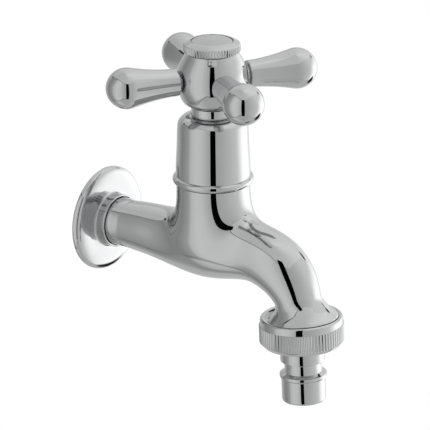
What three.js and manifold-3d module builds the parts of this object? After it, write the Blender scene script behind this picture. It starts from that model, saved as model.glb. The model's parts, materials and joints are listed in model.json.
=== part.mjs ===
// A wall-mounted garden tap (hose bib) with a cross handle, a rising spindle and a screwed hose tail.
// Millimetres. The origin is on the inlet axis where it meets the wall: +X points out of the wall
// and +Z points up. Every piece that comes off on the bench is a separate named mesh.

import * as THREE from 'three';
import { mergeVertices } from 'three/addons/utils/BufferGeometryUtils.js';
import Module from 'manifold-3d';

const wasm = await Module();
wasm.setup();

// ---- Driving dimensions ------------------------------------------------------------------------

const gap = 0.3; // clearance between neighbouring pieces
const overrun = 1; // how far a cutting shape runs past the face it opens

const roundSides = 28; // facets round a large turned piece
const smallSides = 16; // facets round a small turned piece

const towerX = 58.8; // tower axis, from the wall
const outletX = 103.5; // outlet axis, from the wall, at the height of the inlet axis
const outletLean = THREE.MathUtils.degToRad(2.3); // the outlet leans outwards going down
const handleAngle = THREE.MathUtils.degToRad(58.7); // first arm, from +X, with the tap closed

// Inlet and waterway
const shankRadius = 10.45; // G 1/2 outside thread
const shankBack = -8.5;
const shankFront = 2;
const waterRadius = 6;

// Seat, valve chamber and socket for the headwork
const chamberRadius = 11.2;
const chamberFloor = 3.6;
const seatRadius = 5;
const seatLipRadius = 6.6;
const seatTop = 5.5;
const gasketStep = 26.2;
const socketRadius = 13.4;
const towerTop = 28.2;
const towerRadius = 15.4;

// Wall flange
const flangeRadius = 22.4;
const flangeRimRadius = 21;
const flangeDepth = 8.4;
const flangeBore = 10.75;

// Headwork
const bonnetRadius = 10.9;
const bonnetBottom = 19;
const bonnetFlangeRadius = 13.1;
const bonnetFlangeTop = 30.4;
const bonnetHexTop = 36;
const barrelRadius = 9.5;
const barrelTop = 56.1;
const bonnetTop = 60;
const bonnetTopRadius = 7;
const spindleThreadRadius = 6.2;
const stemRadius = 3.6;
const stuffingFloor = 52;
const stuffingRadius = 5.5;

// Spindle and valve disc, with the tap closed
const seatWasherThickness = 2.8;
const jumperRadius = 7.6;
const jumperThickness = 2.5;
const jumperStemRadius = 3;
const jumperStemLength = 8.1;
const jumperStudRadius = 1.6;
const threadBottom = 24.5;
const threadTop = 36;
const threadBoreTop = 42.5;
const squareBottom = 66.5;
const spindleTop = 77.5;
const squareSide = 5;

// Cover and gland nut
const coverBore = 7.5;
const coverTop = 57.6;
const coverPlate = 1.2;
const glandNutRadius = 8.9;
const glandNutTop = 62;
const glandLid = 1.5;

// Handle
const hubBottom = 62.4;
const hubTop = 85.3;
const hubRecessRadius = 8.2;
const hubRecessFloor = 80.2;
const hubWeb = 2.4;
const armHeight = 73.7;
const armCount = 4;
const armRoot = 15.4; // distance of an arm's shoulder from the tower axis
const armRootRadius = 5.7;
const armSpigotRadius = 3.5;
const armSpigotStart = 8.5;
const bulbDistance = 37.4;
const bulbRadius = 8.65;
const screwHeadRadius = 3.6;
const screwShankRadius = 1.4;
const washerThickness = 0.6;

// Index button
const indexRingRadius = 11.9;
const indexRibs = 60;
const indexPocketRadius = 8.9;
const indexPocketFloor = 88;
const indexTop = 89.9;

// Outlet, along its own leaning axis
const outletCollarRadius = 14.8;
const outletCollarBottom = -22.3;
const outletThreadRadius = 13.1; // G 3/4 outside thread
const outletEnd = -26.8;
const couplingSealThickness = 1.5;
const tailFlangeThickness = 1.2;
const tailFlangeRadius = 12.9;
const tailBore = 6.6;
const tailCollarRadius = 9.4;
const tailNeckRadius = 7.7;
const tailBarbRadius = 9.9;
const tailRadius = 9.25;
const tailEnd = -58.2;
const nutRadius = 17.85;
const nutRibs = 78;
const nutTop = -21.2;
const nutBottom = -33.5;
const nutMouthRadius = 15.4;

// ---- Materials ---------------------------------------------------------------------------------

const metal = (color, roughness) => new THREE.MeshStandardMaterial({ color, roughness, metalness: 1 });
const soft = (color) => new THREE.MeshStandardMaterial({ color, roughness: 0.8, metalness: 0 });
const chrome = () => metal(0xc8c9cb, 0.08);
const brass = () => metal(0xb08d45, 0.35);
const steel = () => metal(0x9a9c9e, 0.3);
const rubber = () => soft(0x1c1c1d);
const fibre = () => soft(0xcfc8b8);

// ---- Solids ------------------------------------------------------------------------------------

// A closed geometry as a solid, without the collapsed triangles that lie on a lathe's axis.
function solid(geometry) {
  const bare = geometry.clone();
  bare.deleteAttribute('normal');
  bare.deleteAttribute('uv');
  const merged = mergeVertices(bare);
  const corners = Array.from(merged.index.array);
  const kept = [];
  for (let i = 0; i < corners.length; i += 3) {
    const [a, b, c] = corners.slice(i, i + 3);
    if (a !== b && b !== c && c !== a) kept.push(a, b, c);
  }
  return new wasm.Manifold(
    new wasm.Mesh({
      numProp: 3,
      vertProperties: new Float32Array(merged.attributes.position.array),
      triVerts: new Uint32Array(kept),
    }),
  );
}

// A solid as a geometry with flat facets.
function geometryOf(body) {
  const mesh = body.getMesh();
  const geometry = new THREE.BufferGeometry();
  geometry.setAttribute('position', new THREE.BufferAttribute(new Float32Array(mesh.vertProperties), 3));
  geometry.setIndex(new THREE.BufferAttribute(new Uint32Array(mesh.triVerts), 1));
  geometry.computeVertexNormals();
  return geometry;
}

// A turned solid about Z. The outline is a list of [radius, height] that goes up the outside;
// one that doesn't start and end on the axis is closed into a ring.
function turned(outline, sides = roundSides) {
  const points = outline.map(([radius, height]) => new THREE.Vector2(radius, height));
  const onAxis = points[0].x === 0 && points[points.length - 1].x === 0;
  if (!onAxis) points.push(points[0].clone());
  return solid(new THREE.LatheGeometry(points, sides).rotateX(Math.PI / 2));
}

const cylinder = (radius, bottom, top, sides = roundSides) =>
  turned([[0, bottom], [radius, bottom], [radius, top], [0, top]], sides);

const ring = (inner, outer, bottom, top, sides = roundSides) =>
  turned([[inner, bottom], [outer, bottom], [outer, top], [inner, top]], sides);

const hexagon = (cornerRadius, bottom, top) => cylinder(cornerRadius, bottom, top, 6);

function box(width, depth, bottom, top) {
  const geometry = new THREE.BoxGeometry(width, depth, top - bottom);
  return solid(geometry.translate(0, 0, (bottom + top) / 2));
}

// The part of an outline that follows a circular arc, as [radius, height] points.
function arc(centreRadius, centreHeight, radius, fromDegrees, toDegrees, steps) {
  return Array.from({ length: steps + 1 }, (_, i) => {
    const angle = THREE.MathUtils.degToRad(fromDegrees + ((toDegrees - fromDegrees) * i) / steps);
    return [centreRadius + radius * Math.cos(angle), centreHeight + radius * Math.sin(angle)];
  });
}

// The part of an outline that runs smoothly through a few [radius, height] points.
function smooth(points, steps) {
  const curve = new THREE.SplineCurve(points.map(([radius, height]) => new THREE.Vector2(radius, height)));
  return curve.getPoints(steps).map((point) => [point.x, point.y]);
}

// A band of straight ribs about Z: a toothed outline extruded upwards.
function ribbedBand(radius, ribDepth, ribs, bottom, top) {
  const outline = Array.from({ length: 2 * ribs }, (_, i) => {
    const angle = (Math.PI * i) / ribs;
    const reach = i % 2 ? radius : radius - ribDepth;
    return new THREE.Vector2(reach * Math.cos(angle), reach * Math.sin(angle));
  });
  const options = { depth: top - bottom, bevelEnabled: false };
  return solid(new THREE.ExtrudeGeometry(new THREE.Shape(outline), options).translate(0, 0, bottom));
}

// A round tube of changing radius along a curve in the XZ plane: a turned shape, each ring of which
// is carried to its place on the curve.
function bentTube(stations, rows, sides) {
  const path = new THREE.CatmullRomCurve3(stations.map(([x, z]) => new THREE.Vector3(x, 0, z)));
  const radii = new THREE.SplineCurve(stations.map(([, , radius], i) => new THREE.Vector2(i, radius)));
  const side = new THREE.Vector3(0, 1, 0);
  const rings = Array.from({ length: rows + 1 }, (_, i) => i / rows);
  const outline = [[0, 0], ...rings.map((t) => [radii.getPoint(t).y, t]), [0, 1]];
  const geometry = new THREE.LatheGeometry(outline.map(([radius, t]) => new THREE.Vector2(radius, t)), sides);
  const position = geometry.attributes.position;
  for (let i = 0; i < position.count; i += 1) {
    const t = position.getY(i);
    const up = new THREE.Vector3().crossVectors(path.getTangent(t), side);
    const place = path.getPoint(t);
    place.addScaledVector(up, position.getX(i)).addScaledVector(side, position.getZ(i));
    position.setXYZ(i, place.x, place.y, place.z);
  }
  return solid(geometry);
}

const union = (...solids) => solids.reduce((sum, next) => sum.add(next));
const cut = (body, ...tools) => tools.reduce((rest, tool) => rest.subtract(tool), body);

function part(name, body, material) {
  const mesh = new THREE.Mesh(geometryOf(body), material);
  mesh.name = name;
  return mesh;
}

// ---- Valve body and wall flange ----------------------------------------------------------------

// A solid about the outlet's own axis, as the body carries it.
const atOutlet = (body) =>
  body.rotate([0, -THREE.MathUtils.radToDeg(outletLean), 0]).translate([outletX, 0, 0]);

const atTower = (body) => body.translate([towerX, 0, 0]);

const alongX = (body) => body.rotate([0, 90, 0]);

function bodyCasting() {
  const shank = alongX(cylinder(shankRadius, shankBack, shankFront));
  const skin = bentTube(
    [[0.5, 0, 9.4], [32, -0.2, 11.4], [57, -1.2, 12.4], [82.5, 1.6, 12.5], [95.8, -4, 11.7], [102.2, -12.5, 10.1],
      [104.3, -20, 10]],
    15, roundSides);
  const tower = turned(
    [[0, -8], [9, -8], ...smooth([[12.8, -2], [15.6, 4], [17.6, 10], [17.6, 15], [16.4, 21], [15.6, 25.5]], 6),
      [towerRadius, towerTop], [0, towerTop]]);
  const outletFlare = turned(
    [[0, outletEnd], [outletThreadRadius, outletEnd], [outletThreadRadius, outletCollarBottom],
      [outletCollarRadius, outletCollarBottom], [outletCollarRadius, -21.6],
      ...smooth([[14.5, -21.2], [13, -19.8], [11.4, -17.8], [10.2, -15]], 4), [0, -15]]);
  return union(shank, skin, atTower(tower), atOutlet(outletFlare));
}

function valveBody() {
  const inletPassage = bentTube(
    [[shankBack - overrun, 0, waterRadius], [26, 0, waterRadius], [44, -4.2, waterRadius],
      [towerX, -4.8, waterRadius]], 6, smallSides);
  const seatBore = cylinder(seatRadius, -4.8, seatTop + overrun, smallSides);
  const chamber = cylinder(chamberRadius, chamberFloor, gasketStep + overrun);
  const seatLip = ring(seatRadius, seatLipRadius, chamberFloor - overrun, seatTop);
  const socket = cylinder(socketRadius, gasketStep, towerTop + overrun);
  const spoutPassage = bentTube(
    [[64, 9.4, 5.6], [76, 5.8, 5.8], [88, 0.4, 6], [97.5, -7, 6], [103, -16, 6], [104.8, -28, 6]], 9, smallSides);
  const hollow = cut(union(chamber, spoutPassage.translate([-towerX, 0, 0])), seatLip);
  const body = cut(
    bodyCasting(), inletPassage, atTower(socket), atTower(hollow), atTower(seatBore));
  return part('valve_body', body, chrome());
}

function wallFlange() {
  const edge = smooth([[flangeRadius, 1.1], [21.3, 2.8], [17.4, 3.6]], 3);
  const fillet = smooth([[13.6, 3.8], [12.2, 4.6], [11.8, 6.2]], 3);
  const outline = [
    [flangeRimRadius, 0], [flangeRadius, 0], ...edge, ...fillet, [11.6, flangeDepth],
    [flangeBore, flangeDepth], [flangeBore, 3], [13, 2.1], [20, 1.2]];
  return part('wall_flange', alongX(turned(outline)), chrome());
}

// ---- Headwork, on the tower axis ---------------------------------------------------------------

const bonnetFlangeBottom = gasketStep + 1.6;

function bonnet() {
  const threadBore = spindleThreadRadius + gap;
  const stemBore = stemRadius + gap;
  const barrel = turned([
    [threadBore, bonnetBottom], [bonnetRadius, bonnetBottom], [bonnetRadius, bonnetFlangeBottom],
    [bonnetFlangeRadius, bonnetFlangeBottom], [bonnetFlangeRadius, bonnetFlangeTop],
    [barrelRadius, bonnetFlangeTop], [barrelRadius, barrelTop], [bonnetTopRadius, barrelTop],
    [bonnetTopRadius, bonnetTop], [stuffingRadius, bonnetTop], [stuffingRadius, stuffingFloor],
    [stemBore, stuffingFloor], [stemBore, threadBoreTop], [threadBore, threadBoreTop]]);
  const hex = cut(hexagon(bonnetFlangeRadius, bonnetFlangeTop - overrun, bonnetHexTop),
    cylinder(barrelRadius - overrun, bonnetFlangeTop - 2 * overrun, bonnetHexTop + overrun));
  return part('bonnet', union(barrel, hex), brass());
}

function bonnetGasket() {
  const seal = ring(bonnetRadius + gap, bonnetFlangeRadius, gasketStep + gap, bonnetFlangeBottom - gap);
  return part('bonnet_gasket', seal, fibre());
}

function bonnetCover() {
  const bottom = towerTop + gap;
  const wall = smooth([[15.6, 33.2], [15.2, 43], [14.95, 50.5]], 2);
  const shoulder = smooth([[14.75, 53], [14.2, 55.3], [12.2, 57.1]], 2);
  const outline = [
    [socketRadius, bottom], [towerRadius, bottom], ...arc(15.4, 30.1, 1.65, -65, 65, 3), [15.8, 32.2],
    ...wall, ...shoulder, [9.9, coverTop], [coverBore, coverTop], [coverBore, coverTop - coverPlate],
    [10.1, coverTop - coverPlate], [11.9, 54.4], [13, 50.5], [socketRadius, 44]];
  return part('bonnet_cover', turned(outline), chrome());
}

function glandNut() {
  const bottom = coverTop + gap;
  const threadBore = bonnetTopRadius + gap;
  const outline = [
    [threadBore, bottom], [glandNutRadius, bottom], [glandNutRadius, glandNutTop - 0.5],
    [glandNutRadius - 0.5, glandNutTop], [stemRadius + gap, glandNutTop],
    [stemRadius + gap, glandNutTop - glandLid], [threadBore, glandNutTop - glandLid]];
  return part('gland_nut', turned(outline), chrome());
}

const packingTop = 57.5;

const glandPacking = () =>
  part('gland_packing',
    ring(stemRadius + gap, stuffingRadius - gap, stuffingFloor + gap, packingTop, smallSides), fibre());

const glandFollower = () =>
  part('gland_follower',
    ring(stemRadius + gap, stuffingRadius - gap, packingTop + gap, glandNutTop - glandLid - gap, smallSides),
    brass());

// ---- Valve disc: rises with the spindle but doesn't turn ---------------------------------------

const washerBottom = seatTop + gap;
const washerTop = washerBottom + seatWasherThickness;
const jumperBottom = washerTop + gap;
const jumperTop = jumperBottom + jumperThickness;

function jumper() {
  const studBottom = washerBottom - 3.2;
  const outline = [
    [0, studBottom], [jumperStudRadius, studBottom], [jumperStudRadius, jumperBottom],
    [jumperRadius, jumperBottom], [jumperRadius, jumperTop], [jumperStemRadius, jumperTop],
    [jumperStemRadius, jumperTop + jumperStemLength], [0, jumperTop + jumperStemLength]];
  return part('jumper', turned(outline, smallSides), brass());
}

const seatWasher = () =>
  part('seat_washer', ring(jumperStudRadius + gap, 7.2, washerBottom, washerTop, smallSides), rubber());

function seatWasherNut() {
  const top = washerBottom - gap;
  const nut = cut(hexagon(3.6, top - 2.5, top),
    cylinder(jumperStudRadius + gap, top - 2.5 - overrun, top + overrun, smallSides));
  return part('seat_washer_nut', nut, brass());
}

// ---- Spindle and handle: turn together ---------------------------------------------------------

const spindleBottom = jumperTop + gap;

function spindle() {
  const stem = turned([
    [0, spindleBottom], [5.2, spindleBottom], [5.2, threadBottom - 0.8], [spindleThreadRadius, threadBottom],
    [spindleThreadRadius, threadTop], [stemRadius, threadTop + 1.2], [stemRadius, squareBottom],
    [0, squareBottom]], smallSides);
  const square = box(squareSide, squareSide, squareBottom - overrun, spindleTop);
  const socket = cylinder(
    jumperStemRadius + gap, spindleBottom - overrun, jumperTop + jumperStemLength + 1, smallSides);
  const tapping = cylinder(screwShankRadius + gap, spindleTop - 9, spindleTop + overrun, smallSides);
  return part('spindle', cut(union(stem, square), socket, tapping), brass());
}

function handleHub() {
  const side = smooth(
    [[9.9, hubBottom], [12, 63.6], [13.5, 66.4], [14.8, 70.6], [15.05, 74.4], [14.55, 77.7], [13.6, 80.1],
      [11.85, 83.5]],
    7);
  const body = turned([[0, hubBottom], ...side, [10.9, hubTop], [0, hubTop]]);
  const broach = box(
    squareSide + 2 * gap, squareSide + 2 * gap, squareBottom - overrun, hubRecessFloor - hubWeb);
  const stemBore = cylinder(stemRadius + gap, hubBottom - overrun, squareBottom, smallSides);
  const screwHole = cylinder(
    screwShankRadius + gap, hubRecessFloor - hubWeb - overrun, hubTop, smallSides);
  const recess = cylinder(hubRecessRadius, hubRecessFloor, hubTop + overrun);
  const armHole = alongX(cylinder(armSpigotRadius + gap, armSpigotStart - gap, 20, smallSides));
  const armHoles = armAngles().map((angle) =>
    armHole.rotate([0, 0, THREE.MathUtils.radToDeg(angle)]).translate([0, 0, armHeight]));
  return part('handle_hub', cut(body, broach, stemBore, screwHole, recess, ...armHoles), chrome());
}

const armAngles = () => Array.from({ length: armCount }, (_, i) => (2 * Math.PI * i) / armCount);

function handleArm(angle, number) {
  const neck = smooth([[armRootRadius, 16], [5.8, 19], [6.4, 24.5], [7.5, 31]], 3);
  const bulb = arc(0, bulbDistance, bulbRadius, -32, 65, 4);
  const outline = [
    [0, armSpigotStart], [armSpigotRadius, armSpigotStart], [armSpigotRadius, armRoot],
    [armRootRadius - 0.6, armRoot], ...neck, ...bulb, [0, bulbDistance + bulbRadius]];
  const mesh = part(`handle_arm_${number}`, alongX(turned(outline, smallSides)), chrome());
  mesh.rotation.z = angle;
  mesh.position.z = armHeight;
  return mesh;
}

const screwWasherBottom = hubRecessFloor + gap;
const screwHeadBottom = screwWasherBottom + washerThickness + gap;

const handleScrewWasher = () =>
  part('handle_screw_washer',
    ring(screwShankRadius + gap, 4.2, screwWasherBottom, screwWasherBottom + washerThickness, smallSides),
    steel());

function handleScrew() {
  const headTop = screwHeadBottom + 2.2;
  const blank = turned([
    [0, spindleTop - 8], [screwShankRadius, spindleTop - 8], [screwShankRadius, screwHeadBottom],
    [screwHeadRadius, screwHeadBottom], [screwHeadRadius, headTop - 0.8], [2.4, headTop], [0, headTop]],
  smallSides);
  const slot = box(2 * screwHeadRadius + overrun, 0.9, headTop - 1.1, headTop + overrun);
  return part('handle_screw', cut(blank, slot), steel());
}

function indexRing() {
  const bottom = hubTop + gap;
  const ribTop = indexTop - 0.9;
  const ribDepth = 0.4;
  const core = turned([
    [6.4, hubRecessFloor + 2.4], [hubRecessRadius - gap, hubRecessFloor + 2.4],
    [hubRecessRadius - gap, bottom], [indexRingRadius - ribDepth, bottom],
    [indexRingRadius - ribDepth, ribTop], [9.3, indexTop], [indexPocketRadius, indexTop],
    [indexPocketRadius, indexPocketFloor], [6.4, indexPocketFloor]]);
  const ribs = cut(
    ribbedBand(indexRingRadius, ribDepth, indexRibs, bottom, ribTop),
    cylinder(indexPocketRadius + 1, bottom - overrun, ribTop + overrun));
  return part('index_ring', union(core, ribs), chrome());
}

function indexDisc() {
  const edge = indexPocketRadius - gap;
  const outline = [
    [0, indexPocketFloor + gap], [edge, indexPocketFloor + gap], [edge, indexTop - 0.3],
    [edge - 0.5, indexTop], [0, indexTop + 0.3]];
  return part('index_disc', turned(outline), chrome());
}

// ---- Hose coupling, on the leaning outlet axis --------------------------------------------------

const couplingSealTop = outletEnd - gap;
const tailFlangeTop = couplingSealTop - couplingSealThickness - gap;
const tailFlangeBottom = tailFlangeTop - tailFlangeThickness;
const nutLipTop = tailFlangeBottom - gap;

const couplingWasher = () =>
  part('coupling_washer',
    ring(tailBore, tailFlangeRadius, couplingSealTop - couplingSealThickness, couplingSealTop), rubber());

function hoseTail() {
  const barbTop = -45.2;
  const outline = [
    [tailBore, tailEnd], [tailRadius - 0.8, tailEnd], ...arc(tailRadius - 0.8, tailEnd + 0.8, 0.8, -45, 0, 1),
    [tailRadius, barbTop - 2.8], [tailBarbRadius, barbTop - 2.2], [tailBarbRadius, barbTop - 1],
    [tailNeckRadius, barbTop], [tailNeckRadius, -40.9], [tailCollarRadius, -40.5],
    [tailCollarRadius, tailFlangeBottom], [tailFlangeRadius, tailFlangeBottom],
    [tailFlangeRadius, tailFlangeTop], [tailBore, tailFlangeTop]];
  return part('hose_tail', turned(outline), chrome());
}

function couplingNut() {
  const ribDepth = 0.45;
  const ribTop = nutTop - 3.2;
  const ribBottom = nutBottom + 1.7;
  const threadBore = outletThreadRadius + gap;
  const core = turned([
    [tailCollarRadius + 1, nutBottom], [16.2, nutBottom], [nutRadius - ribDepth, ribBottom],
    [nutRadius - ribDepth, ribTop], ...arc(16.1, nutTop - 1.1, 1.1, -10, 100, 3),
    [nutMouthRadius, nutTop - 0.5], [nutMouthRadius, outletCollarBottom - gap],
    [threadBore, outletCollarBottom - gap], [threadBore, nutLipTop], [tailCollarRadius + 1, nutLipTop]]);
  const ribs = cut(
    ribbedBand(nutRadius, ribDepth, nutRibs, ribBottom, ribTop),
    cylinder(nutMouthRadius + 0.6, ribBottom - overrun, ribTop + overrun));
  return part('coupling_nut', union(core, ribs), chrome());
}

// ---- Assembly ----------------------------------------------------------------------------------

const handle = new THREE.Group();
handle.rotation.z = handleAngle;
handle.add(
  spindle(), handleHub(), handleScrewWasher(), handleScrew(), indexRing(), indexDisc(),
  ...armAngles().map((angle, i) => handleArm(angle, i + 1)));

const tower = new THREE.Group();
tower.position.x = towerX;
tower.add(
  bonnet(), bonnetGasket(), bonnetCover(), glandNut(), glandPacking(), glandFollower(),
  jumper(), seatWasher(), seatWasherNut(), handle);

const outlet = new THREE.Group();
outlet.position.x = outletX;
outlet.rotation.y = -outletLean;
outlet.add(couplingWasher(), hoseTail(), couplingNut());

const group = new THREE.Group();
group.add(valveBody(), wallFlange(), tower, outlet);

export default group;
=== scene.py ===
"""A chrome garden tap: the fine surfaces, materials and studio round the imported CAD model.

Pieces are shaped in millimetres in the CAD frame (+X out of the wall, +Z up) and stored in metres.
"""

import json
import math

import bpy
import numpy as np
from mathutils import Matrix, Vector


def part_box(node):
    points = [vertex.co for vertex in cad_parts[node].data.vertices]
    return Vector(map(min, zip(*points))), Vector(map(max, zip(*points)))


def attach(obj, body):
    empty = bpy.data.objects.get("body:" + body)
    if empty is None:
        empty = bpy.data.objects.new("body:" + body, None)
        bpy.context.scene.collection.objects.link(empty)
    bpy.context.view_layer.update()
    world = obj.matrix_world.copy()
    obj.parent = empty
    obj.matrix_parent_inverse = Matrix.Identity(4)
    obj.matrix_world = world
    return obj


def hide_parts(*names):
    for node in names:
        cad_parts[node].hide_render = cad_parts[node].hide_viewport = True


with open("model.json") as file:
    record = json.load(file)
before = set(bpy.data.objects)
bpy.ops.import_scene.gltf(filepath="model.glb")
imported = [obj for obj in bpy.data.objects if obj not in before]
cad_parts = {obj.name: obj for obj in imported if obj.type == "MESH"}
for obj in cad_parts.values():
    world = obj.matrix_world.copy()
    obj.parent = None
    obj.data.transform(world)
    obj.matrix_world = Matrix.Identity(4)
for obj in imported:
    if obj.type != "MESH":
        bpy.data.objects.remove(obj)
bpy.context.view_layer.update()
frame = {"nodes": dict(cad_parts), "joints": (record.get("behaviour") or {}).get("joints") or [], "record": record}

MM = 0.001
ROUND = 144  # facets round a large turned piece
SMALL = 96  # facets round a small turned piece
ARC_STEPS = 5  # straight steps in each rounded edge
SHARP_ANGLE = math.radians(38)
FLAT_CORNER = math.radians(88)  # half angle from which a corner is too flat to round
ROUNDING_SHARE = 0.48  # most of a neighbouring edge that a rounding takes up


# ---- Places taken from the frame ---------------------------------------------------------------

def corners(node):
    """Lowest and highest corner of a CAD node, in millimetres."""
    low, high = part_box(node)
    return np.array(low) / MM, np.array(high) / MM


def centre(node):
    low, high = corners(node)
    return (low + high) / 2


def heights(node):
    low, high = corners(node)
    return low[2], high[2]


def joint(name):
    return next(j for j in frame["joints"] if j["name"] == name)


def outlet_matrix():
    """The outlet's own frame: +Z back up the leaning axis, origin where it meets the inlet's height."""
    down = Vector(joint("nut_turn")["axis"])
    point = Vector(joint("nut_turn")["pos_m"]) / MM
    origin = point - down * (point.z / down.z)
    side = Vector((0, 1, 0))
    back = -down
    across = side.cross(back)
    rows = Matrix((across, side, back)).transposed().to_4x4()
    return Matrix.Translation(origin) @ rows


def handle_angle():
    arm = centre("handle_arm_1")
    return math.atan2(arm[1], arm[0] - TOWER_X)


TOWER_X = centre("gland_nut")[0]
TOWER = Matrix.Translation((TOWER_X, 0, 0))
OUTLET = outlet_matrix()
HANDLE_TURN = handle_angle()
ARM_HEIGHT = centre("handle_arm_1")[2]
ALONG_X = Matrix(((0, 0, 1, 0), (0, 1, 0, 0), (-1, 0, 0, 0), (0, 0, 0, 1)))


# ---- Outlines ----------------------------------------------------------------------------------

def spline_table(stations):
    """Natural cubic spline through the rows of stations: (distances, values, second derivatives)."""
    values = np.asarray(stations, float)
    steps = np.linalg.norm(np.diff(values[:, :2], axis=0), axis=1)
    distances = np.concatenate([[0], np.cumsum(steps)])
    count = len(values)
    system = np.eye(count)
    target = np.zeros_like(values)
    for i in range(1, count - 1):
        before, after = steps[i - 1], steps[i]
        system[i, i - 1:i + 2] = before, 2 * (before + after), after
        target[i] = 6 * ((values[i + 1] - values[i]) / after - (values[i] - values[i - 1]) / before)
    return distances, values, np.linalg.solve(system, target)


def spline_at(table, where):
    """Value, slope and bend of the spline at each distance in where."""
    distances, values, bends = table
    i = np.clip(np.searchsorted(distances, where) - 1, 0, len(distances) - 2)
    span = (distances[i + 1] - distances[i])[:, None]
    b = (np.asarray(where) - distances[i])[:, None] / span
    a = 1 - b
    value = a * values[i] + b * values[i + 1]
    value += ((a ** 3 - a) * bends[i] + (b ** 3 - b) * bends[i + 1]) * span ** 2 / 6
    slope = (values[i + 1] - values[i]) / span
    slope += ((1 - 3 * a ** 2) * bends[i] + (3 * b ** 2 - 1) * bends[i + 1]) * span / 6
    return value, slope, a * bends[i] + b * bends[i + 1]


def curve(points, count):
    """count points along a smooth curve through a few [radius, height] points."""
    table = spline_table(points)
    value, _, _ = spline_at(table, np.linspace(0, table[0][-1], count))
    return [tuple(row) for row in value]


def arc(centre_radius, centre_height, radius, start, end, count):
    """count points on a circular arc, angles in degrees from the outward direction."""
    angles = np.radians(np.linspace(start, end, count))
    return [(centre_radius + radius * math.cos(a), centre_height + radius * math.sin(a)) for a in angles]


def rounded(corner, before, after, radius):
    """The points of a rounded corner between its two neighbours."""
    corner, before, after = (np.array(p[:2], float) for p in (corner, before, after))
    back, ahead = before - corner, after - corner
    reach_back, reach_ahead = np.linalg.norm(back), np.linalg.norm(ahead)
    back, ahead = back / reach_back, ahead / reach_ahead
    half = math.acos(np.clip(back @ ahead, -1, 1)) / 2
    if half > FLAT_CORNER:
        return [tuple(corner)]
    reach = min(radius / math.tan(half), ROUNDING_SHARE * reach_back, ROUNDING_SHARE * reach_ahead)
    radius = reach * math.tan(half)
    bisector = (back + ahead) / np.linalg.norm(back + ahead)
    middle = corner + bisector * radius / math.sin(half)
    first = corner + back * reach - middle
    last = corner + ahead * reach - middle
    sweep = math.pi - 2 * half

    def along_arc(share):
        weighed = math.sin((1 - share) * sweep) * first + math.sin(share * sweep) * last
        return tuple(middle + weighed / math.sin(sweep))

    return [along_arc(share) for share in np.linspace(0, 1, ARC_STEPS + 1)]


def raised(base, *points):
    """The points with their heights counted from base."""
    return [(radius, base + height) for radius, height in points]


def outline(*entries):
    """A closed outline: entries are (radius, height), (radius, height, corner radius) or lists of points."""
    flat = []
    for entry in entries:
        flat.extend(entry if isinstance(entry, list) else [entry])
    points = []
    for i, entry in enumerate(flat):
        if len(entry) == 3:
            points.extend(rounded(entry, flat[i - 1], flat[(i + 1) % len(flat)], entry[2]))
        else:
            points.append(tuple(entry))
    return points


# ---- Meshes ------------------------------------------------------------------------------------

def piece(name, vertices, faces, place=None):
    """A mesh object from millimetre vertices, turned and moved by the matrix place."""
    placed = np.asarray(vertices, float)
    if place is not None:
        placed = placed @ np.array(place.to_3x3()).T + np.array(place.translation)
    mesh = bpy.data.meshes.new(name)
    mesh.from_pydata((placed * MM).tolist(), [], faces if isinstance(faces, list) else faces.tolist())
    return finished(name, mesh)


def finished(name, mesh):
    mesh.validate()
    mesh.polygons.foreach_set("use_smooth", [True] * len(mesh.polygons))
    mesh.set_sharp_from_angle(angle=SHARP_ANGLE)
    item = bpy.data.objects.new(name, mesh)
    bpy.context.scene.collection.objects.link(item)
    return item


def revolve(points, facets, relief=None):
    """Vertices and faces of a closed outline turned about Z. relief(angles, points) adds to the radius."""
    points = np.asarray(points, float)
    count = len(points)
    angles = 2 * math.pi * np.arange(facets) / facets
    radius = np.repeat(points[None, :, 0], facets, axis=0)
    if relief is not None:
        radius = radius + relief(angles[:, None], points)
    height = np.repeat(points[None, :, 1], facets, axis=0)
    east, north = radius * np.cos(angles)[:, None], radius * np.sin(angles)[:, None]
    vertices = np.stack([east, north, height], axis=2)
    around = np.arange(facets)[:, None]
    along = np.arange(count)[None, :]
    nearby, further = around * count, (around + 1) % facets * count
    following = (along + 1) % count
    faces = np.stack([nearby + along, further + along, further + following, nearby + following], axis=2)
    return vertices.reshape(-1, 3), faces.reshape(-1, 4)


def weld_axis(vertices, faces):
    """Merges the vertices of a turned shape that lie on its axis and drops the faces that collapse there."""
    keys_per_mm = 1e5
    keys = np.round(vertices * keys_per_mm).astype(np.int64)
    _, first, inverse = np.unique(keys, axis=0, return_index=True, return_inverse=True)
    merged = vertices[first]
    kept = []
    for face in inverse.reshape(-1)[faces].tolist():
        ring = [v for i, v in enumerate(face) if v != face[i - 1]]
        if len(ring) > 2:
            kept.append(ring)
    return merged, kept


def turned(name, points, place=TOWER, facets=ROUND, relief=None):
    """A closed outline turned about the Z axis of the matrix place."""
    vertices, faces = weld_axis(*revolve(points, facets, relief))
    return piece(name, vertices, faces, place)


def combined(item, tools, operation):
    """item joined with, or cut by, the tools, which are used up."""
    for tool in tools:
        step = item.modifiers.new("boolean", "BOOLEAN")
        step.solver = "MANIFOLD"
        step.operation = operation
        step.object = tool
    bpy.context.view_layer.update()
    mesh = bpy.data.meshes.new_from_object(item.evaluated_get(bpy.context.evaluated_depsgraph_get()))
    name = item.name
    for used in [item, *tools]:
        bpy.data.objects.remove(used)
    return finished(name, mesh)


def bands(rows, columns):
    """Four-cornered faces between closed rows of vertices, each row of that many columns."""
    row = np.arange(rows - 1)[:, None] * columns
    column = np.arange(columns)[None, :]
    following = (column + 1) % columns
    above = row + columns
    faces = np.stack([row + column, row + following, above + following, above + column], axis=2)
    return faces.reshape(-1, 4).tolist()


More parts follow.
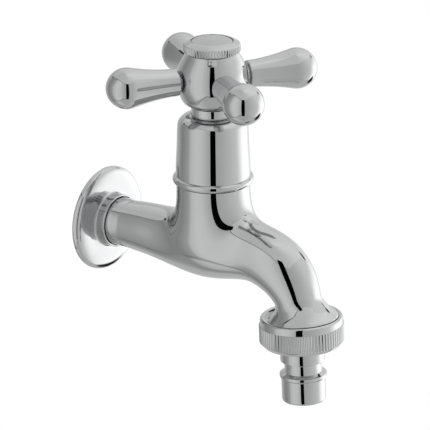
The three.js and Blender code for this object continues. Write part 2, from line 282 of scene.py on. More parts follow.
def capped_tube(name, stations):
    """A closed round tube along a smooth curve through (x, z, radius) stations."""
    rows = 60
    table = spline_table(stations)
    value, slope, _ = spline_at(table, np.linspace(0, table[0][-1], rows))
    along = slope[:, :2] / np.linalg.norm(slope[:, :2], axis=1)[:, None]
    angles = 2 * math.pi * np.arange(SMALL) / SMALL
    reach, side = value[:, 2:3] * np.cos(angles), value[:, 2:3] * np.sin(angles)
    x = value[:, 0:1] - along[:, 1:2] * reach
    z = value[:, 1:2] + along[:, 0:1] * reach
    vertices = np.stack([x, -side, z], axis=2).reshape(-1, 3)
    faces = bands(rows, SMALL)
    faces.append(list(range(SMALL))[::-1])
    faces.append([(rows - 1) * SMALL + i for i in range(SMALL)])
    return piece(name, vertices, faces)


# ---- The casting: a smooth surface where a distance function is zero ----------------------------

# The middle line of inlet, body and spout, as (x, z, radius).
SPINE = spline_table([
    (0, 0, 9.35), (16, 0, 10.3), (32, -0.2, 11.35), (57, -2.1, 11.7), (82.5, 1.3, 12.2), (95.5, -3.8, 11.7),
    (102.1, -12.8, 10.05), (103.1, -15.9, 10), (103.72, -18.2, 11.4), (104.2, -20.8, 13.8),
    (104.5, -22.6, 15.6)])
SPINE_SAMPLES = 120
TOWER_RADIUS = 15.45
TOWER_ROUNDING = 6.5  # height below which the tower's foot rounds off
TOWER_SQUASH = 1.3  # how much sooner than a ball the foot closes
TOWER_CUT = heights("bonnet_cover")[0] + 1
BLEND = 19  # reach of the smooth join between tower and spout
GRID_STEP = 0.75  # spacing of the grid on which the casting's surface is found
NUDGE = 0.01  # step to either side of a point when a slope is measured there
LEAST_SLOPE = 0.05  # keeps moves short where the slope is very weak


def nearest_on_spine(x, z):
    """Distance along the spine of the point nearest to each (x, z)."""
    where = np.linspace(0, SPINE[0][-1], SPINE_SAMPLES)
    samples, _, _ = spline_at(SPINE, where)
    away = (x[:, None] - samples[:, 0]) ** 2 + (z[:, None] - samples[:, 1]) ** 2
    best = where[np.argmin(away, axis=1)]
    rounds, least_bend = 3, 0.2
    for _ in range(rounds):
        value, slope, bend = spline_at(SPINE, best)
        dx, dz = value[:, 0] - x, value[:, 1] - z
        first = dx * slope[:, 0] + dz * slope[:, 1]
        second = slope[:, 0] ** 2 + slope[:, 1] ** 2 + dx * bend[:, 0] + dz * bend[:, 1]
        best = np.clip(best - first / np.maximum(second, least_bend), 0, SPINE[0][-1])
    return best


def casting_gap(x, y, z):
    """Roughly the distance from each point to the outside of the casting, negative inside it."""
    flat_x, flat_z = (a.ravel() for a in np.broadcast_arrays(x, z))
    value, _, _ = spline_at(SPINE, nearest_on_spine(flat_x, flat_z))
    shape = np.broadcast_shapes(x.shape, z.shape)
    across = np.hypot(flat_x - value[:, 0], flat_z - value[:, 1]).reshape(shape)
    spout = np.sqrt(across ** 2 + y ** 2) - value[:, 2].reshape(shape)
    foot = TOWER_SQUASH * np.minimum(z - TOWER_ROUNDING, 0)
    tower = np.sqrt((x - TOWER_X) ** 2 + y ** 2 + foot ** 2) - TOWER_RADIUS
    overlap = np.maximum(BLEND - np.abs(spout - tower), 0) / BLEND
    joined = np.minimum(spout, tower) - overlap ** 3 * BLEND / 6
    return np.maximum(joined, z - TOWER_CUT)


def level_surface(gap, low, high, step):
    """Vertices and four-cornered faces of the surface where gap is zero, on a regular grid."""
    axes = [np.arange(a, b + step, step) for a, b in zip(low, high)]
    values = gap(axes[0][:, None, None], axes[1][None, :, None], axes[2][None, None, :])
    cells = tuple(n - 1 for n in values.shape)
    total = np.zeros(cells + (3,))
    hits = np.zeros(cells)
    quads = []
    for axis in range(3):
        near = np.take(values, range(values.shape[axis] - 1), axis)
        far = np.take(values, range(1, values.shape[axis]), axis)
        edge = np.argwhere((near < 0) != (far < 0))
        start, end = near[tuple(edge.T)], far[tuple(edge.T)]
        point = np.stack([axes[k][edge[:, k]] for k in range(3)], axis=1)
        point[:, axis] += step * start / (start - end)
        first, second = (axis + 1) % 3, (axis + 2) % 3
        around = []
        for down_first, down_second in ((1, 1), (0, 1), (0, 0), (1, 0)):
            cell = edge.copy()
            cell[:, first] -= down_first
            cell[:, second] -= down_second
            around.append(cell)
            np.add.at(total, tuple(cell.T), point)
            np.add.at(hits, tuple(cell.T), 1)
        quad = np.stack(around, axis=1)
        quads.append(np.where((start < 0)[:, None, None], quad, quad[:, ::-1]))
    used = hits > 0
    number = np.full(cells, -1)
    number[used] = np.arange(used.sum())
    faces = number[tuple(np.moveaxis(np.concatenate(quads), 2, 0))]
    return total[used] / hits[used][:, None], faces


def gradient(gap, points):
    """How gap changes along each axis, at each point."""
    rises = [gap(*(points + NUDGE * axis).T) - gap(*(points - NUDGE * axis).T) for axis in np.eye(3)]
    return np.stack(rises, axis=1) / (2 * NUDGE)


def pulled_on(points, gap):
    """The points moved onto the surface where gap is zero, along its gradient."""
    slope = gradient(gap, points)
    steepness = np.maximum((slope ** 2).sum(axis=1), LEAST_SLOPE)
    return points - slope * (gap(*points.T) / steepness)[:, None]


def evened(points, faces):
    """The points moved to the middle of their neighbours."""
    total = np.zeros_like(points)
    hits = np.zeros(len(points))
    for i in range(4):
        for other in (faces[:, i - 1], faces[:, (i + 1) % 4]):
            np.add.at(total, faces[:, i], points[other])
            np.add.at(hits, faces[:, i], 1)
    return total / hits[:, None]


# ---- Threads and ribs ----------------------------------------------------------------------------

def ladder(radius, bottom, top, rows):
    """Evenly spaced points up a straight side, for a side that carries a thread."""
    return [(radius, height) for height in np.linspace(bottom, top, rows)]


def thread(radius, first, last, depth, pitch):
    """A relief that cuts a right-handed groove into the side of that radius, fading out at both ends."""
    def relief(angle, points):
        height = points[None, :, 1]
        groove = 1 - np.abs(2 * ((height / pitch - angle / (2 * math.pi)) % 1) - 1)
        fade = np.clip((height - first) / pitch, 0, 1) * np.clip((last - height) / pitch, 0, 1)
        return -depth * groove * fade * np.isclose(points[:, 0], radius)
    return relief


def straight_ribs(radius, depth, count):
    """A relief of upright ribs on the side of that radius."""
    sharpness = 0.7  # below 1, the ribs are broader than the gaps between them

    def relief(angle, points):
        wave = 0.5 + 0.5 * np.cos(count * angle)
        return depth * wave ** sharpness * np.isclose(points[:, 0], radius)
    return relief


# ---- Valve body and wall flange ----------------------------------------------------------------

PIPE_PITCH = 1.814  # 14 threads to the inch
PIPE_DEPTH = 1.0
WATER_RADIUS = 6
BEYOND = 6  # how far a cutting tool runs past the face it opens


def casting():
    """Inlet tube, tower and spout in one skin, before its ends are cut to length."""
    behind, below, past_spout, evening_rounds = -12, -42, 4, 3
    reach = TOWER_RADIUS + 3
    low = (behind, -reach, below)
    high = (corners("valve_body")[1][0] + past_spout, reach, TOWER_CUT + 1)
    points, faces = level_surface(casting_gap, low, high, GRID_STEP)
    for _ in range(evening_rounds):
        points = pulled_on(evened(points, faces), casting_gap)
    return piece("valve_body_casting", pulled_on(points, casting_gap), faces)


def shank():
    """The inlet thread, which runs on under the flange as a plain boss and fades into the tube."""
    back, front = corners("valve_body")[0][0], 16
    radius = 10.45
    side = ladder(radius, back + 0.9, -0.5, 90)
    taper = curve([(radius, 7.5), (10.32, 10), (10.22, 13), (10.15, front)], 12)
    points = outline((0, back), (radius - 0.5, back), *side, *taper, (0, front))
    relief = thread(radius, back + 1, -1, PIPE_DEPTH, PIPE_PITCH)
    return turned("shank", points, ALONG_X, ROUND, relief)


OUTLET_END = -26.8  # heights in the outlet's own frame
OUTLET_SHOULDER = -22.3


def outlet_spigot():
    """The outlet thread, rooted a little way into the casting."""
    radius, root = 13.1, OUTLET_SHOULDER + 1
    side = ladder(radius, OUTLET_END + 0.5, OUTLET_SHOULDER, 60)
    points = outline((0, OUTLET_END), (radius - 0.6, OUTLET_END), *side, (radius, root), (0, root))
    relief = thread(radius, OUTLET_END + 0.3, OUTLET_SHOULDER, PIPE_DEPTH, PIPE_PITCH)
    return turned("outlet_spigot", points, OUTLET, ROUND, relief)


def outlet_cutter():
    """Turns the shoulder above the outlet thread and squares off the end of the casting."""
    shoulder, wide, deep, rim = 14.8, 40, -60, -21
    points = [(0, deep), (wide, deep), (wide, rim), (shoulder + 0.5, rim - 0.1), (shoulder, rim - 0.6),
              (shoulder, OUTLET_SHOULDER), (0, OUTLET_SHOULDER)]
    return turned("outlet_cutter", points, OUTLET)


def chamber_cutter():
    """Seat bore, valve chamber round the seat's lip, gasket step and the mouth of the tower."""
    seat, lip, chamber, socket = 5, 6.6, 11.2, 13.4
    bottom, chamber_floor, seat_top, step = -9, 3.6, 5.5, 26.2
    mouth = heights("bonnet_cover")[0] - 0.3
    wide = TOWER_RADIUS + BEYOND
    points = outline(
        (0, bottom), (seat, bottom), (seat, seat_top, 0.3), (lip, seat_top, 0.3), (lip, chamber_floor, 0.3),
        (chamber, chamber_floor, 0.5), (chamber, step), (socket, step), (socket, mouth - 0.3),
        (socket + 0.3, mouth), (wide, mouth), (wide, mouth + BEYOND), (0, mouth + BEYOND))
    return turned("chamber_cutter", points)


def inlet_cutter():
    """The water way from the inlet thread to under the seat."""
    back = corners("valve_body")[0][0]
    return capped_tube("inlet_cutter", [
        (back - BEYOND, 0, WATER_RADIUS), (26, 0, WATER_RADIUS), (44, -4.2, WATER_RADIUS),
        (TOWER_X, -4.8, WATER_RADIUS)])


def spout_cutter():
    """The water way from the valve chamber through the spout."""
    return capped_tube("spout_cutter", [
        (67, 9.2, 5.7), (76, 5.8, 5.8), (88, 0.4, 6), (97.5, -7, 6), (103, -16, 6), (105, -32, 6)])


def valve_body():
    body = combined(casting(), [outlet_cutter()], "DIFFERENCE")
    body = combined(body, [shank(), outlet_spigot()], "UNION")
    return combined(body, [chamber_cutter(), inlet_cutter(), spout_cutter()], "DIFFERENCE")


def wall_flange():
    _, high = corners("wall_flange")
    rim, front = high[1], high[0]
    bore, collar, face = 10.75, 11.4, 3.65
    edge = curve([(rim, 1.1), (rim - 0.25, 2), (rim - 1.1, 2.8), (rim - 2.7, 3.35), (rim - 5, 3.6),
                  (collar + 3.2, face)], 24)
    points = outline(
        (rim - 1.4, 0, 0.15), (rim, 0, 0.4), *edge, (collar, face, 0.8), (collar, front, 0.3),
        (bore, front, 0.15), (bore, 3, 0.3), (13, 2.1, 0.5), (20, 1.2, 0.3))
    return turned("wall_rosette", points, ALONG_X)


# ---- Tower ---------------------------------------------------------------------------------------

def bonnet_cover():
    foot, crown = heights("bonnet_cover")
    inside, mouth, groove = 13.4, 7.5, crown - 1
    bead = arc(15.4, foot + 1.6, 1.62, -70, 70, 17)
    side = curve(raised(foot, (15.68, 3.7), (15.5, 9.3), (15.2, 14.6), (14.97, 20.6)), 24)
    shoulder = curve(raised(foot, (14.93, 22), (14.8, 24.3), (14.25, 26.7), (12.4, 28.6)), 24)
    points = outline(
        (inside, foot, 0.1), (15.55, foot, 0.1), *bead, (15.65, foot + 3.2, 0.15), *side, *shoulder,
        (9.9, crown, 0.6), (9.75, crown, 0.1), (9.65, groove, 0.1), (8.65, groove, 0.1), (8.6, crown, 0.1),
        (mouth, crown, 0.1), (mouth, crown - 2), (10.1, crown - 2, 0.5), (11.9, crown - 4, 0.6),
        (13, crown - 7.5), (inside, foot + 15.5))
    return turned("headwork_cover", points)


def gland_nut():
    bottom, top = heights("gland_nut")
    outer, inside, bore, lid = 8.9, 7.3, 3.9, 1.5
    points = outline(
        (inside, bottom, 0.1), (outer, bottom, 0.2), (outer, top, 0.45), (bore, top, 0.2), (bore, top - lid),
        (inside, top - lid))
    return turned("neck_nut", points)


# ---- Handle --------------------------------------------------------------------------------------

def handle_hub():
    bottom, top = heights("handle_hub")
    recess, recess_floor, bore, screw_hole = 8.2, top - 5.1, 3.9, 1.7
    seat = recess_floor - 2.4
    barrel = raised(
        bottom, (10.05, 0.15), (11.9, 1.2), (13.5, 4), (14.8, 8.2), (15.03, 12), (14.55, 15.3), (13.6, 17.7),
        (12.8, 19.4), (11.85, 21.1), (11.1, 22.4))
    points = outline(
        (bore, bottom + 2.2, 0.2), (8.4, bottom + 2.2, 0.5), (9.3, bottom + 0.1, 0.15), *curve(barrel, 60),
        (10.8, top, 0.2), (recess, top, 0.2), (recess, recess_floor, 0.2), (screw_hole, recess_floor),
        (screw_hole, seat), (bore, seat))
    return turned("cross_hub", points)


ARMS = 4


def handle_arm(number):
    """An arm with its screwed stub in the hub, a slim neck and a ball end."""
    stub, stub_end, root, distance, bulb = 3.5, 8.5, 15.4, 37.4, 8.65
    neck = raised(root, (5.72, 1), (5.82, 3.8), (6.15, 7.3), (6.75, 11.8), (7.6, 16.3), (8.315, 19.6))
    tip = arc(0, distance, bulb, -15, 90, 30)
    points = outline(
        (0, stub_end), (stub, stub_end, 0.3), (stub, root, 0.15), (5.68, root, 0.45), *curve(neck, 30),
        *tip[1:])
    turn = Matrix.Rotation(HANDLE_TURN + 2 * (number - 1) * math.pi / ARMS, 4, "Z")
    place = TOWER @ Matrix.Translation((0, 0, ARM_HEIGHT)) @ turn @ ALONG_X
    return turned(f"cross_arm_{number}", points, place, SMALL)


INDEX_RIBS = 60
RIB_FACETS = 8  # facets round each rib


def index_ring():
    """The ribbed ring, with a neck that screws into the hub and a pocket for the button."""
    foot, top = heights("index_ring")
    bottom, pocket_floor = foot + 3, top - 1.9
    root, depth, neck, pocket, bore = 11.55, 0.38, 7.9, 8.85, 6.4
    band_bottom, band_top = bottom + 0.25, top - 1
    points = outline(
        (bore, foot), (neck, foot, 0.3), (neck, bottom), (root - 0.1, bottom, 0.1), (root, band_bottom),
        (root, band_bottom + 0.15), (root, band_top - 0.3), (root - 0.01, band_top, 0.1), (9.35, top, 0.35),
        (pocket, top, 0.12), (pocket, pocket_floor), (bore, pocket_floor))
    relief = straight_ribs(root, depth, INDEX_RIBS)
    return turned("index_bezel", points, TOWER, INDEX_RIBS * RIB_FACETS, relief)


def index_disc():
    bottom, top = heights("index_disc")
    edge = 8.62
    crown = curve([(edge - 0.6, top - 0.3), (5, top - 0.12), (0, top)], 14)
    points = outline((0, bottom), (edge, bottom, 0.1), (edge, top - 0.55, 0.2), *crown)
    return turned("index_button", points)


# ---- Hose coupling -------------------------------------------------------------------------------

NUT_RIBS = 78
NUT_TOP = -21.2  # heights in the outlet's own frame
NUT_BOTTOM = -33.5
TAIL_BORE = 6.6
TAIL_FLANGE = 12.9


def coupling_nut():
    root, depth, mouth, bore, lip = 17.4, 0.42, 15.4, 13.4, 9.9
    shelf, ledge = -30.4, OUTLET_SHOULDER - 0.3
    band_top, band_bottom = NUT_TOP - 3.1, NUT_BOTTOM + 1.7
    rim_size = 1.05
    rim = arc(16.25, NUT_TOP - rim_size, rim_size, 0, 100, 10)
    points = outline(
        (lip, NUT_BOTTOM, 0.15), (16.1, NUT_BOTTOM, 0.3), (root - 0.01, band_bottom, 0.1),
        (root, band_bottom + 0.15), (root, band_top - 0.15), (root + 0.01, band_top, 0.05),
        (root - 0.02, band_top + 0.5, 0.3), *rim, (mouth, NUT_TOP - 0.25, 0.2), (mouth, ledge, 0.1),
        (bore, ledge, 0.2), (bore, shelf, 0.2), (lip, shelf, 0.1))
    relief = straight_ribs(root, depth, NUT_RIBS)
    return turned("union_nut", points, OUTLET, NUT_RIBS * RIB_FACETS, relief)


def hose_tail():
    bore, flange, collar, neck, barb, tube = TAIL_BORE, TAIL_FLANGE, 9.4, 7.7, 9.9, 9.25
    end, barb_low, barb_high, collar_foot, shelf, top = -58.2, -47.5, -46.3, -40.5, -30.1, -28.9
    points = outline(
        (bore, end, 0.25), (tube, end, 0.9), (tube, barb_low - 0.6, 0.3), (barb, barb_low, 0.2),
        (barb, barb_high, 0.25), (neck + 0.15, barb_high + 1, 0.3), (neck, collar_foot - 0.5, 0.25),
        (collar, collar_foot, 0.3), (collar, shelf, 0.2), (flange, shelf, 0.2), (flange, top, 0.2),
        (bore, top, 0.2))
    return turned("push_on_tail", points, OUTLET)


# ---- Inner pieces --------------------------------------------------------------------------------

def plain_ring(name, node, inner):
    """A turned ring with its edges just rounded, of the outer size and height of its CAD node."""
    low, high = corners(node)
    outer = (high[1] - low[1]) / 2
    edge = min(0.3, (outer - inner) / 4)
    points = outline(
        (inner, low[2], edge), (outer, low[2], edge), (outer, high[2], edge), (inner, high[2], edge))
    return turned(name, points, TOWER, SMALL)


def hose_washer():
    inner, outer, bottom, top, edge = TAIL_BORE, TAIL_FLANGE, -28.6, -27.1, 0.4
    points = outline((inner, bottom, edge), (outer, bottom, edge), (outer, top, edge), (inner, top, edge))
    return turned("hose_washer", points, OUTLET, SMALL)


# ---- Raised drop marks ---------------------------------------------------------------------------

def drop_mark(name, settle, length, rise):
    """A raised water drop. settle(along, across, lift) gives points on or above the surface under it."""
    rings, steps, top_share = 7, 48, 0.02
    breadth = 0.62
    sharpness = 1.6  # of the drop's tip
    turn = 2 * math.pi * np.arange(steps) / steps
    along = 0.5 * length * np.cos(turn)
    across = breadth * length * np.sin(turn) * np.sin(turn / 2) ** sharpness
    vertices = []
    for share in np.linspace(1, top_share, rings):
        lift = rise * math.sqrt(1 - share ** 4) if share < 1 else 0
        vertices.append(settle(share * along, share * across, np.full(steps, lift)))
    vertices.append(settle(along, across, np.full(steps, -rise)))
    faces = bands(rings, steps)
    foot = rings * steps
    faces += [[foot + i, foot + (i + 1) % steps, (i + 1) % steps, i] for i in range(steps)]
    faces.append([(rings - 1) * steps + i for i in range(steps)])
    faces.append([foot + i for i in range(steps)][::-1])
    return piece(name, np.concatenate(vertices), faces)


def on_spout(along, across, lift):
    """Points on top of the spout, along it from the middle of the mark."""
    middle, lean, rounds = np.array((78.5, 0, 15)), math.radians(-24), 4
    direction = np.array((math.cos(lean), 0, math.sin(lean)))
    points = middle + along[:, None] * direction + across[:, None] * np.array((0, 1, 0))
    for _ in range(rounds):
        points = pulled_on(points, casting_gap)
    slope = gradient(casting_gap, points)
    return points + lift[:, None] * slope / np.linalg.norm(slope, axis=1)[:, None]


def on_button(along, across, lift):
    """Points on top of the index button, with the drop's tip pointing away from the wall."""
    top = heights("index_disc")[1] - 0.05
    return np.stack([TOWER_X + along, across, top + lift], axis=1)


# ---- Materials -----------------------------------------------------------------------------------

class Nodes:
    """Short ways to add and link shader nodes."""

    def __init__(self, tree):
        self.tree = tree

    def add(self, kind, **settings):
        node = self.tree.nodes.new(kind)
        for name, value in settings.items():
            setattr(node, name, value)
        return node

    def link(self, source, target):
        self.tree.links.new(source, target)

    def feed(self, target, value):
        if isinstance(value, bpy.types.NodeSocket):
            self.link(value, target)
        else:
            target.default_value = value

    def math(self, operation, *values):
        node = self.add("ShaderNodeMath", operation=operation)
        for socket, value in zip(node.inputs, values):
            self.feed(socket, value)
        return node.outputs[0]

    def spread(self, value, low, high, new_low, new_high):
        """value eased from the range low to high into the range new_low to new_high, and held inside it."""
        node = self.add("ShaderNodeMapRange", interpolation_type="SMOOTHSTEP")
        for socket, amount in zip(node.inputs, (value, low, high, new_low, new_high)):
            self.feed(socket, amount)
        return node.outputs[0]

    def noise(self, where, scale, detail=3, stretch=None):
        if stretch is not None:
            mapping = self.add("ShaderNodeMapping")
            mapping.inputs["Scale"].default_value = stretch
            self.link(where, mapping.inputs["Vector"])
            where = mapping.outputs[0]
        node = self.add("ShaderNodeTexNoise")
        node.inputs["Scale"].default_value = scale
        node.inputs["Detail"].default_value = detail
        self.link(where, node.inputs["Vector"])
        return node.outputs[0]

    def blend(self, share, first, second):
        node = self.add("ShaderNodeMix", data_type="RGBA")
        for name, value in (("Factor", share), ("A", first), ("B", second)):
            socket = next(s for s in node.inputs if s.name == name and s.enabled)
            self.feed(socket, value)
        return next(s for s in node.outputs if s.enabled)

    def ramp(self, share, stops):
        """A curve of grey levels over shares from 0 to 1."""
        node = self.add("ShaderNodeValToRGB")
        elements = node.color_ramp.elements
        while len(elements) < len(stops):
            elements.new(0.5)
        for element, (place, level) in zip(elements, stops):
            element.position = place
            element.color = grey(level)
        self.link(share, node.inputs[0])
        return node.outputs[0]

    def part_along(self, direction, axis):
        """How much of a direction points along the axis."""
        node = self.add("ShaderNodeVectorMath", operation="DOT_PRODUCT")
        node.inputs[1].default_value = axis
        self.link(direction, node.inputs[0])
        return node.outputs["Value"]


def grey(level):
    return (level, level, level, 1)


def new_material(name):
    """A material, its nodes and its shader."""
    material = bpy.data.materials.new(name)
    material.use_nodes = True
    shader = next(n for n in material.node_tree.nodes if n.type == "BSDF_PRINCIPLED")
    return material, Nodes(material.node_tree), shader


def slot_colour(slot):
    found = next(m for m in frame["record"]["materials"] if m["slot"] == slot)
    return np.array(found["base_color"])


def rgba(colour, share):
    return (*np.clip(colour * share, 0, 1).tolist(), 1)


PATCHES = 45  # noise scales, to the metre
SPOTS = 260


def worn(slot, metallic, roughness, wear, grain, grain_size, stretch=None, shade=1):
    """A material with patchy tone and gloss and a fine surface grain.

    roughness is its (least, most) and wear the share by which the tone varies. grain and grain_size are the
    grain's height and width in metres, and shade is the share of the slot's colour that it gives back.
    """
    material, nodes, shader = new_material(slot)
    where = nodes.add("ShaderNodeTexCoord").outputs["Object"]
    patches = nodes.noise(where, PATCHES, 4)
    spots = nodes.noise(where, SPOTS, 2)
    fine = nodes.noise(where, 1 / grain_size, 3, stretch)
    colour = slot_colour(slot) * shade
    tone = nodes.spread(patches, 0.35, 0.65, 0, 1)
    mottled = nodes.blend(tone, rgba(colour, 1 - wear), rgba(colour, 1 + wear))
    nodes.link(mottled, shader.inputs["Base Color"])
    smudge = nodes.spread(nodes.math("MULTIPLY", patches, spots), 0.2, 0.42, *roughness)
    nodes.link(smudge, shader.inputs["Roughness"])
    shader.inputs["Metallic"].default_value = metallic
    bump = nodes.add("ShaderNodeBump")
    bump.inputs["Distance"].default_value = grain
    nodes.link(fine, bump.inputs["Height"])
    nodes.link(bump.outputs[0], shader.inputs["Normal"])
    return material


CHROME_SHADE = 0.68  # dims repeated reflections; the tent is brighter by as much


def chrome():
    return worn("chrome", metallic=1, roughness=(0.025, 0.07), wear=0.02, grain=0.000002, grain_size=0.004,
                shade=CHROME_SHADE)


def brass():
    return worn("brass", metallic=1, roughness=(0.22, 0.4), wear=0.08, grain=0.00002, grain_size=0.0004,
                stretch=(1, 1, 12))


def steel():
    return worn("steel", metallic=1, roughness=(0.2, 0.38), wear=0.06, grain=0.00002, grain_size=0.0004)


def rubber():
    return worn("rubber", metallic=0, roughness=(0.55, 0.8), wear=0.25, grain=0.00006, grain_size=0.0006)


def fibre():
    return worn("fibre", metallic=0, roughness=(0.7, 0.9), wear=0.12, grain=0.00008, grain_size=0.0007)


# ---- Assembly ------------------------------------------------------------------------------------

def fit(item, body, slot, node):
    """The piece takes the place of its CAD node, moves with that node's body and wears its material."""
    item.data.materials.clear()
    item.data.materials.append(MATERIALS[slot])
    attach(item, body)
    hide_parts(node)


def build_tap():
    body = combined(valve_body(), [drop_mark("spout_mark", on_spout, length=8.5, rise=0.5)], "UNION")
    fit(body, "tap_body", "chrome", "valve_body")
    fit(bonnet_cover(), "tap_body", "chrome", "bonnet_cover")
    fit(gland_nut(), "tap_body", "chrome", "gland_nut")
    fit(plain_ring("headwork_gasket", "bonnet_gasket", inner=11.2), "tap_body", "fibre", "bonnet_gasket")
    fit(plain_ring("stem_packing", "gland_packing", inner=3.9), "tap_body", "fibre", "gland_packing")
    fit(wall_flange(), "escutcheon", "chrome", "wall_flange")
    fit(plain_ring("valve_washer", "seat_washer", inner=1.9), "valve_disc", "rubber", "seat_washer")
    fit(handle_hub(), "handle", "chrome", "handle_hub")
    for number in range(1, ARMS + 1):
        fit(handle_arm(number), "handle", "chrome", f"handle_arm_{number}")
    fit(index_ring(), "handle", "chrome", "index_ring")
    button = combined(index_disc(), [drop_mark("button_mark", on_button, length=3.6, rise=0.25)], "UNION")
    fit(button, "handle", "chrome", "index_disc")
    fit(hose_tail(), "tail", "chrome", "hose_tail")
    fit(hose_washer(), "tail", "rubber", "coupling_washer")
    fit(coupling_nut(), "nut", "chrome", "coupling_nut")


def finish_cad_nodes():
    """The inner CAD pieces that still show take the material of their own slot."""
    slots = {item["node"]: item["material_slot"] for item in frame["record"]["subparts"]}
    for name, node in frame["nodes"].items():
        if not node.hide_render:
            node.data.materials.clear()
            node.data.materials.append(MATERIALS[slots[name]])


# ---- Studio --------------------------------------------------------------------------------------

CAMERA_AZIMUTH = math.radians(37.77)
CAMERA_ELEVATION = math.radians(19.98)
CAMERA_ROLL = math.radians(0.54)
CAMERA_DISTANCE = 1680
AIM_ACROSS = 0.61  # where the camera aims, from the foot of the tower's axis
AIM_ABOVE = 12.6
SENSOR = 36
LENS = 334.9
VIEW_END = 100  # metres

FRONT = Vector((math.sin(CAMERA_AZIMUTH), -math.cos(CAMERA_AZIMUTH), 0))
RIGHT = Vector((math.cos(CAMERA_AZIMUTH), math.sin(CAMERA_AZIMUTH), 0))
UP = Vector((0, 0, 1))


def camera():
    back = FRONT * math.cos(CAMERA_ELEVATION) + UP * math.sin(CAMERA_ELEVATION)
    upright = back.cross(RIGHT)
    aim = Vector((TOWER_X, 0, 0)) + RIGHT * AIM_ACROSS + upright * AIM_ABOVE
    turn, lean = math.cos(CAMERA_ROLL), math.sin(CAMERA_ROLL)
    across = RIGHT * turn - upright * lean
    above = RIGHT * lean + upright * turn
    data = bpy.data.cameras.new("camera")
    data.lens = LENS
    data.sensor_width = SENSOR
    data.clip_end = VIEW_END
    item = bpy.data.objects.new("camera", data)
    place = Matrix.Translation((aim + back * CAMERA_DISTANCE) * MM)
    item.matrix_world = place @ Matrix((across, above, back)).transposed().to_4x4()
    bpy.context.scene.collection.objects.link(item)
    bpy.context.scene.camera = item


def floor():
    side, depth = 8000, -300
    square = [(-side, -side, depth), (side, -side, depth), (side, side, depth), (-side, side, depth)]
    item = piece("floor", square, [[0, 1, 2, 3]])
    material, nodes, shader = new_material("pale_floor")
    where = nodes.add("ShaderNodeTexCoord").outputs["Object"]
    tone = nodes.spread(nodes.noise(where, 3), 0.3, 0.7, 0, 1)
    nodes.link(nodes.blend(tone, grey(0.93), grey(0.95)), shader.inputs["Base Color"])
    shader.inputs["Roughness"].default_value = 0.9
    item.data.materials.append(material)
    item.visible_glossy = False


def toward(degrees, share):
    """A level direction, this many degrees to the right of the camera as the tap sees it, scaled."""
    angle = math.radians(degrees)
    return (FRONT * math.cos(angle) + RIGHT * math.sin(angle)) * share


def ramp_stops(*stops):
    """Ramp stops from (degrees to the right of the camera, brightness) pairs."""
    return [(0.5 + degrees / 360, level) for degrees, level in stops]


# The tent's ceiling and table edges: the direction of each, scaled by the slope at which it is seen.
CEILING_PANELS = [toward(0, 0.88), toward(-62, 1.22), toward(62, 1.15), toward(180, 0.55)]
TABLE_PANELS = [toward(0, 0.93), toward(-70, 1.3), toward(70, 1.2), toward(180, 1.2)]
DARK_CORNERS = [(-128, 26, 5), (134, 20, 6), (136, -43, 9), (119, -44, 15)]  # degrees right, up and across
CORNER_LEVEL = 0.02
SEAM_LEVEL = 0.06
LAMP_LEVEL = 1.25
LAMP_DIRECTION = 120  # degrees to the right of the camera
DIFFUSE_LEVEL = 1.2
SOFTNESS = math.radians(1)  # half the width of the soft edge between wall and ceiling
WALL_LEVELS = ramp_stops(
    (-180, 0.5), (-150, 0.42), (-132, 0.38), (-122, 0.29), (-112, 0.25), (-98, 0.31), (-84, 0.37),
    (-73, 0.56), (-55, 0.64), (-36, 0.61), (-18, 0.48), (-8, 0.4), (8, 0.41), (30, 0.46), (60, 0.56),
    (80, 0.64), (110, 0.68), (150, 0.66), (180, 0.52))
TABLE_LEVELS = ramp_stops(
    (-180, 0.46), (-140, 0.46), (-123, 0.3), (-112, 0.3), (-99, 0.48), (-75, 0.57), (-30, 0.42), (30, 0.42),
    (60, 0.5), (180, 0.46))
CEILING_LEVELS = ramp_stops(
    (-180, 0.65), (-130, 0.5), (-60, 0.52), (0, 0.54), (40, 0.6), (80, 0.7), (120, 0.77), (150, 0.7),
    (180, 0.65))


def steepest(nodes, direction, panels):
    """The most that a direction points along any of the panels."""
    share = nodes.part_along(direction, panels[0])
    for panel in panels[1:]:
        share = nodes.math("MAXIMUM", share, nodes.part_along(direction, panel))
    return share


def round_tent(nodes, turn, first, last, before, after):
    """A value that eases from before to after between two directions, in degrees right of the camera."""
    return nodes.spread(turn, math.radians(first), math.radians(last), before, after)


def seams(nodes, turn, over, under):
    """The dark seams above and below the left wall."""
    before_front = round_tent(nodes, turn, -6, 4, 1, 0)
    past_back = round_tent(nodes, turn, -116, -108, 0, 1)
    left = nodes.math("MULTIPLY", before_front, past_back)
    half = round_tent(nodes, turn, -125, -60, 3 * SOFTNESS, 1.2 * SOFTNESS)
    depth = round_tent(nodes, turn, -112, -85, 0.2, 1)
    upper = nodes.math("MULTIPLY", nodes.math("LESS_THAN", nodes.math("ABSOLUTE", over), half), depth)
    lower = nodes.spread(nodes.math("ABSOLUTE", under), 2 * SOFTNESS, 5 * SOFTNESS, 0.4, 0)
    return nodes.math("MULTIPLY", nodes.math("MAXIMUM", upper, lower), left)


def lamp(nodes, turn, climb):
    """The glow of the lamp on the right wall."""
    off = nodes.math("ABSOLUTE", nodes.math("SUBTRACT", turn, math.radians(LAMP_DIRECTION)))
    return nodes.math("MULTIPLY", round_tent(nodes, off, 8, 44, 1, 0), nodes.spread(climb, -0.1, 0.42, 1, 0))


def dark_corner(nodes, direction, level, across, up, size):
    middle = toward(across, math.cos(math.radians(up))) + UP * math.sin(math.radians(up))
    rim, core = math.cos(math.radians(size)), math.cos(math.radians(size / 2))
    inside = nodes.spread(nodes.part_along(direction, middle), rim, core, 0, 1)
    return nodes.blend(inside, level, grey(CORNER_LEVEL))


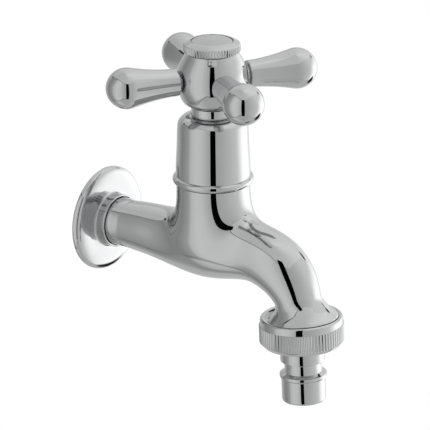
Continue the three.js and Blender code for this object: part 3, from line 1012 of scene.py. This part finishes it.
def tent():
    """A white tent round the tap: pale walls, a ceiling, a table and a bright lamp behind the right wall."""
    world = bpy.data.worlds.new("tent")
    bpy.context.scene.world = world
    world.use_nodes = True
    nodes = Nodes(world.node_tree)
    background = next(n for n in world.node_tree.nodes if n.type == "BACKGROUND")
    direction = nodes.add("ShaderNodeTexCoord").outputs["Generated"]
    turn = nodes.math("ARCTAN2", nodes.part_along(direction, RIGHT), nodes.part_along(direction, FRONT))
    climb = nodes.part_along(direction, UP)
    over = nodes.math("SUBTRACT", climb, steepest(nodes, direction, CEILING_PANELS))
    under = nodes.math("ADD", climb, steepest(nodes, direction, TABLE_PANELS))

    share = nodes.math("MULTIPLY_ADD", turn, 0.5 / math.pi, 0.5)
    level = nodes.blend(lamp(nodes, turn, climb), nodes.ramp(share, WALL_LEVELS), grey(LAMP_LEVEL))
    below = nodes.spread(under, -3 * SOFTNESS, 3 * SOFTNESS, 1, 0)
    level = nodes.blend(below, level, nodes.ramp(share, TABLE_LEVELS))
    above = nodes.spread(over, -SOFTNESS, SOFTNESS, 0, 1)
    level = nodes.blend(above, level, nodes.ramp(share, CEILING_LEVELS))
    level = nodes.blend(seams(nodes, turn, over, under), level, grey(SEAM_LEVEL))
    for across, up, size in DARK_CORNERS:
        level = dark_corner(nodes, direction, level, across, up, size)

    path = nodes.add("ShaderNodeLightPath")
    soft = nodes.blend(path.outputs["Is Diffuse Ray"], level, grey(DIFFUSE_LEVEL))
    nodes.link(nodes.blend(path.outputs["Is Camera Ray"], soft, grey(1)), background.inputs["Color"])
    glare = nodes.math("MULTIPLY_ADD", path.outputs["Is Glossy Ray"], 1 / CHROME_SHADE - 1, 1)
    nodes.link(glare, background.inputs["Strength"])


def tent_opening():
    """The dark gap between the tent's front panels, seen in direct reflections only."""
    distance, half, low, high = 300, 43.5, -208, 322
    middle = Vector((TOWER_X, 0, 0)) + FRONT * distance
    sides_and_heights = ((-half, low), (half, low), (half, high), (-half, high))
    gap = [middle + RIGHT * side + UP * height for side, height in sides_and_heights]
    item = piece("tent_opening", gap, [[0, 1, 2, 3]])
    material, nodes, shader = new_material("dark_opening")
    shader.inputs["Base Color"].default_value = grey(0)
    shader.inputs["Specular IOR Level"].default_value = 0
    bounces = nodes.add("ShaderNodeLightPath").outputs["Ray Depth"]
    nodes.link(nodes.math("LESS_THAN", bounces, 1.5), shader.inputs["Alpha"])
    item.data.materials.append(material)
    item.visible_camera = False
    item.visible_diffuse = False
    item.visible_shadow = False


# ---- The scene -----------------------------------------------------------------------------------

MATERIALS = {make.__name__: make() for make in (chrome, brass, steel, rubber, fibre)}
build_tap()
finish_cad_nodes()
floor()
tent()
tent_opening()
camera()
bpy.context.scene.view_settings.view_transform = "Standard"
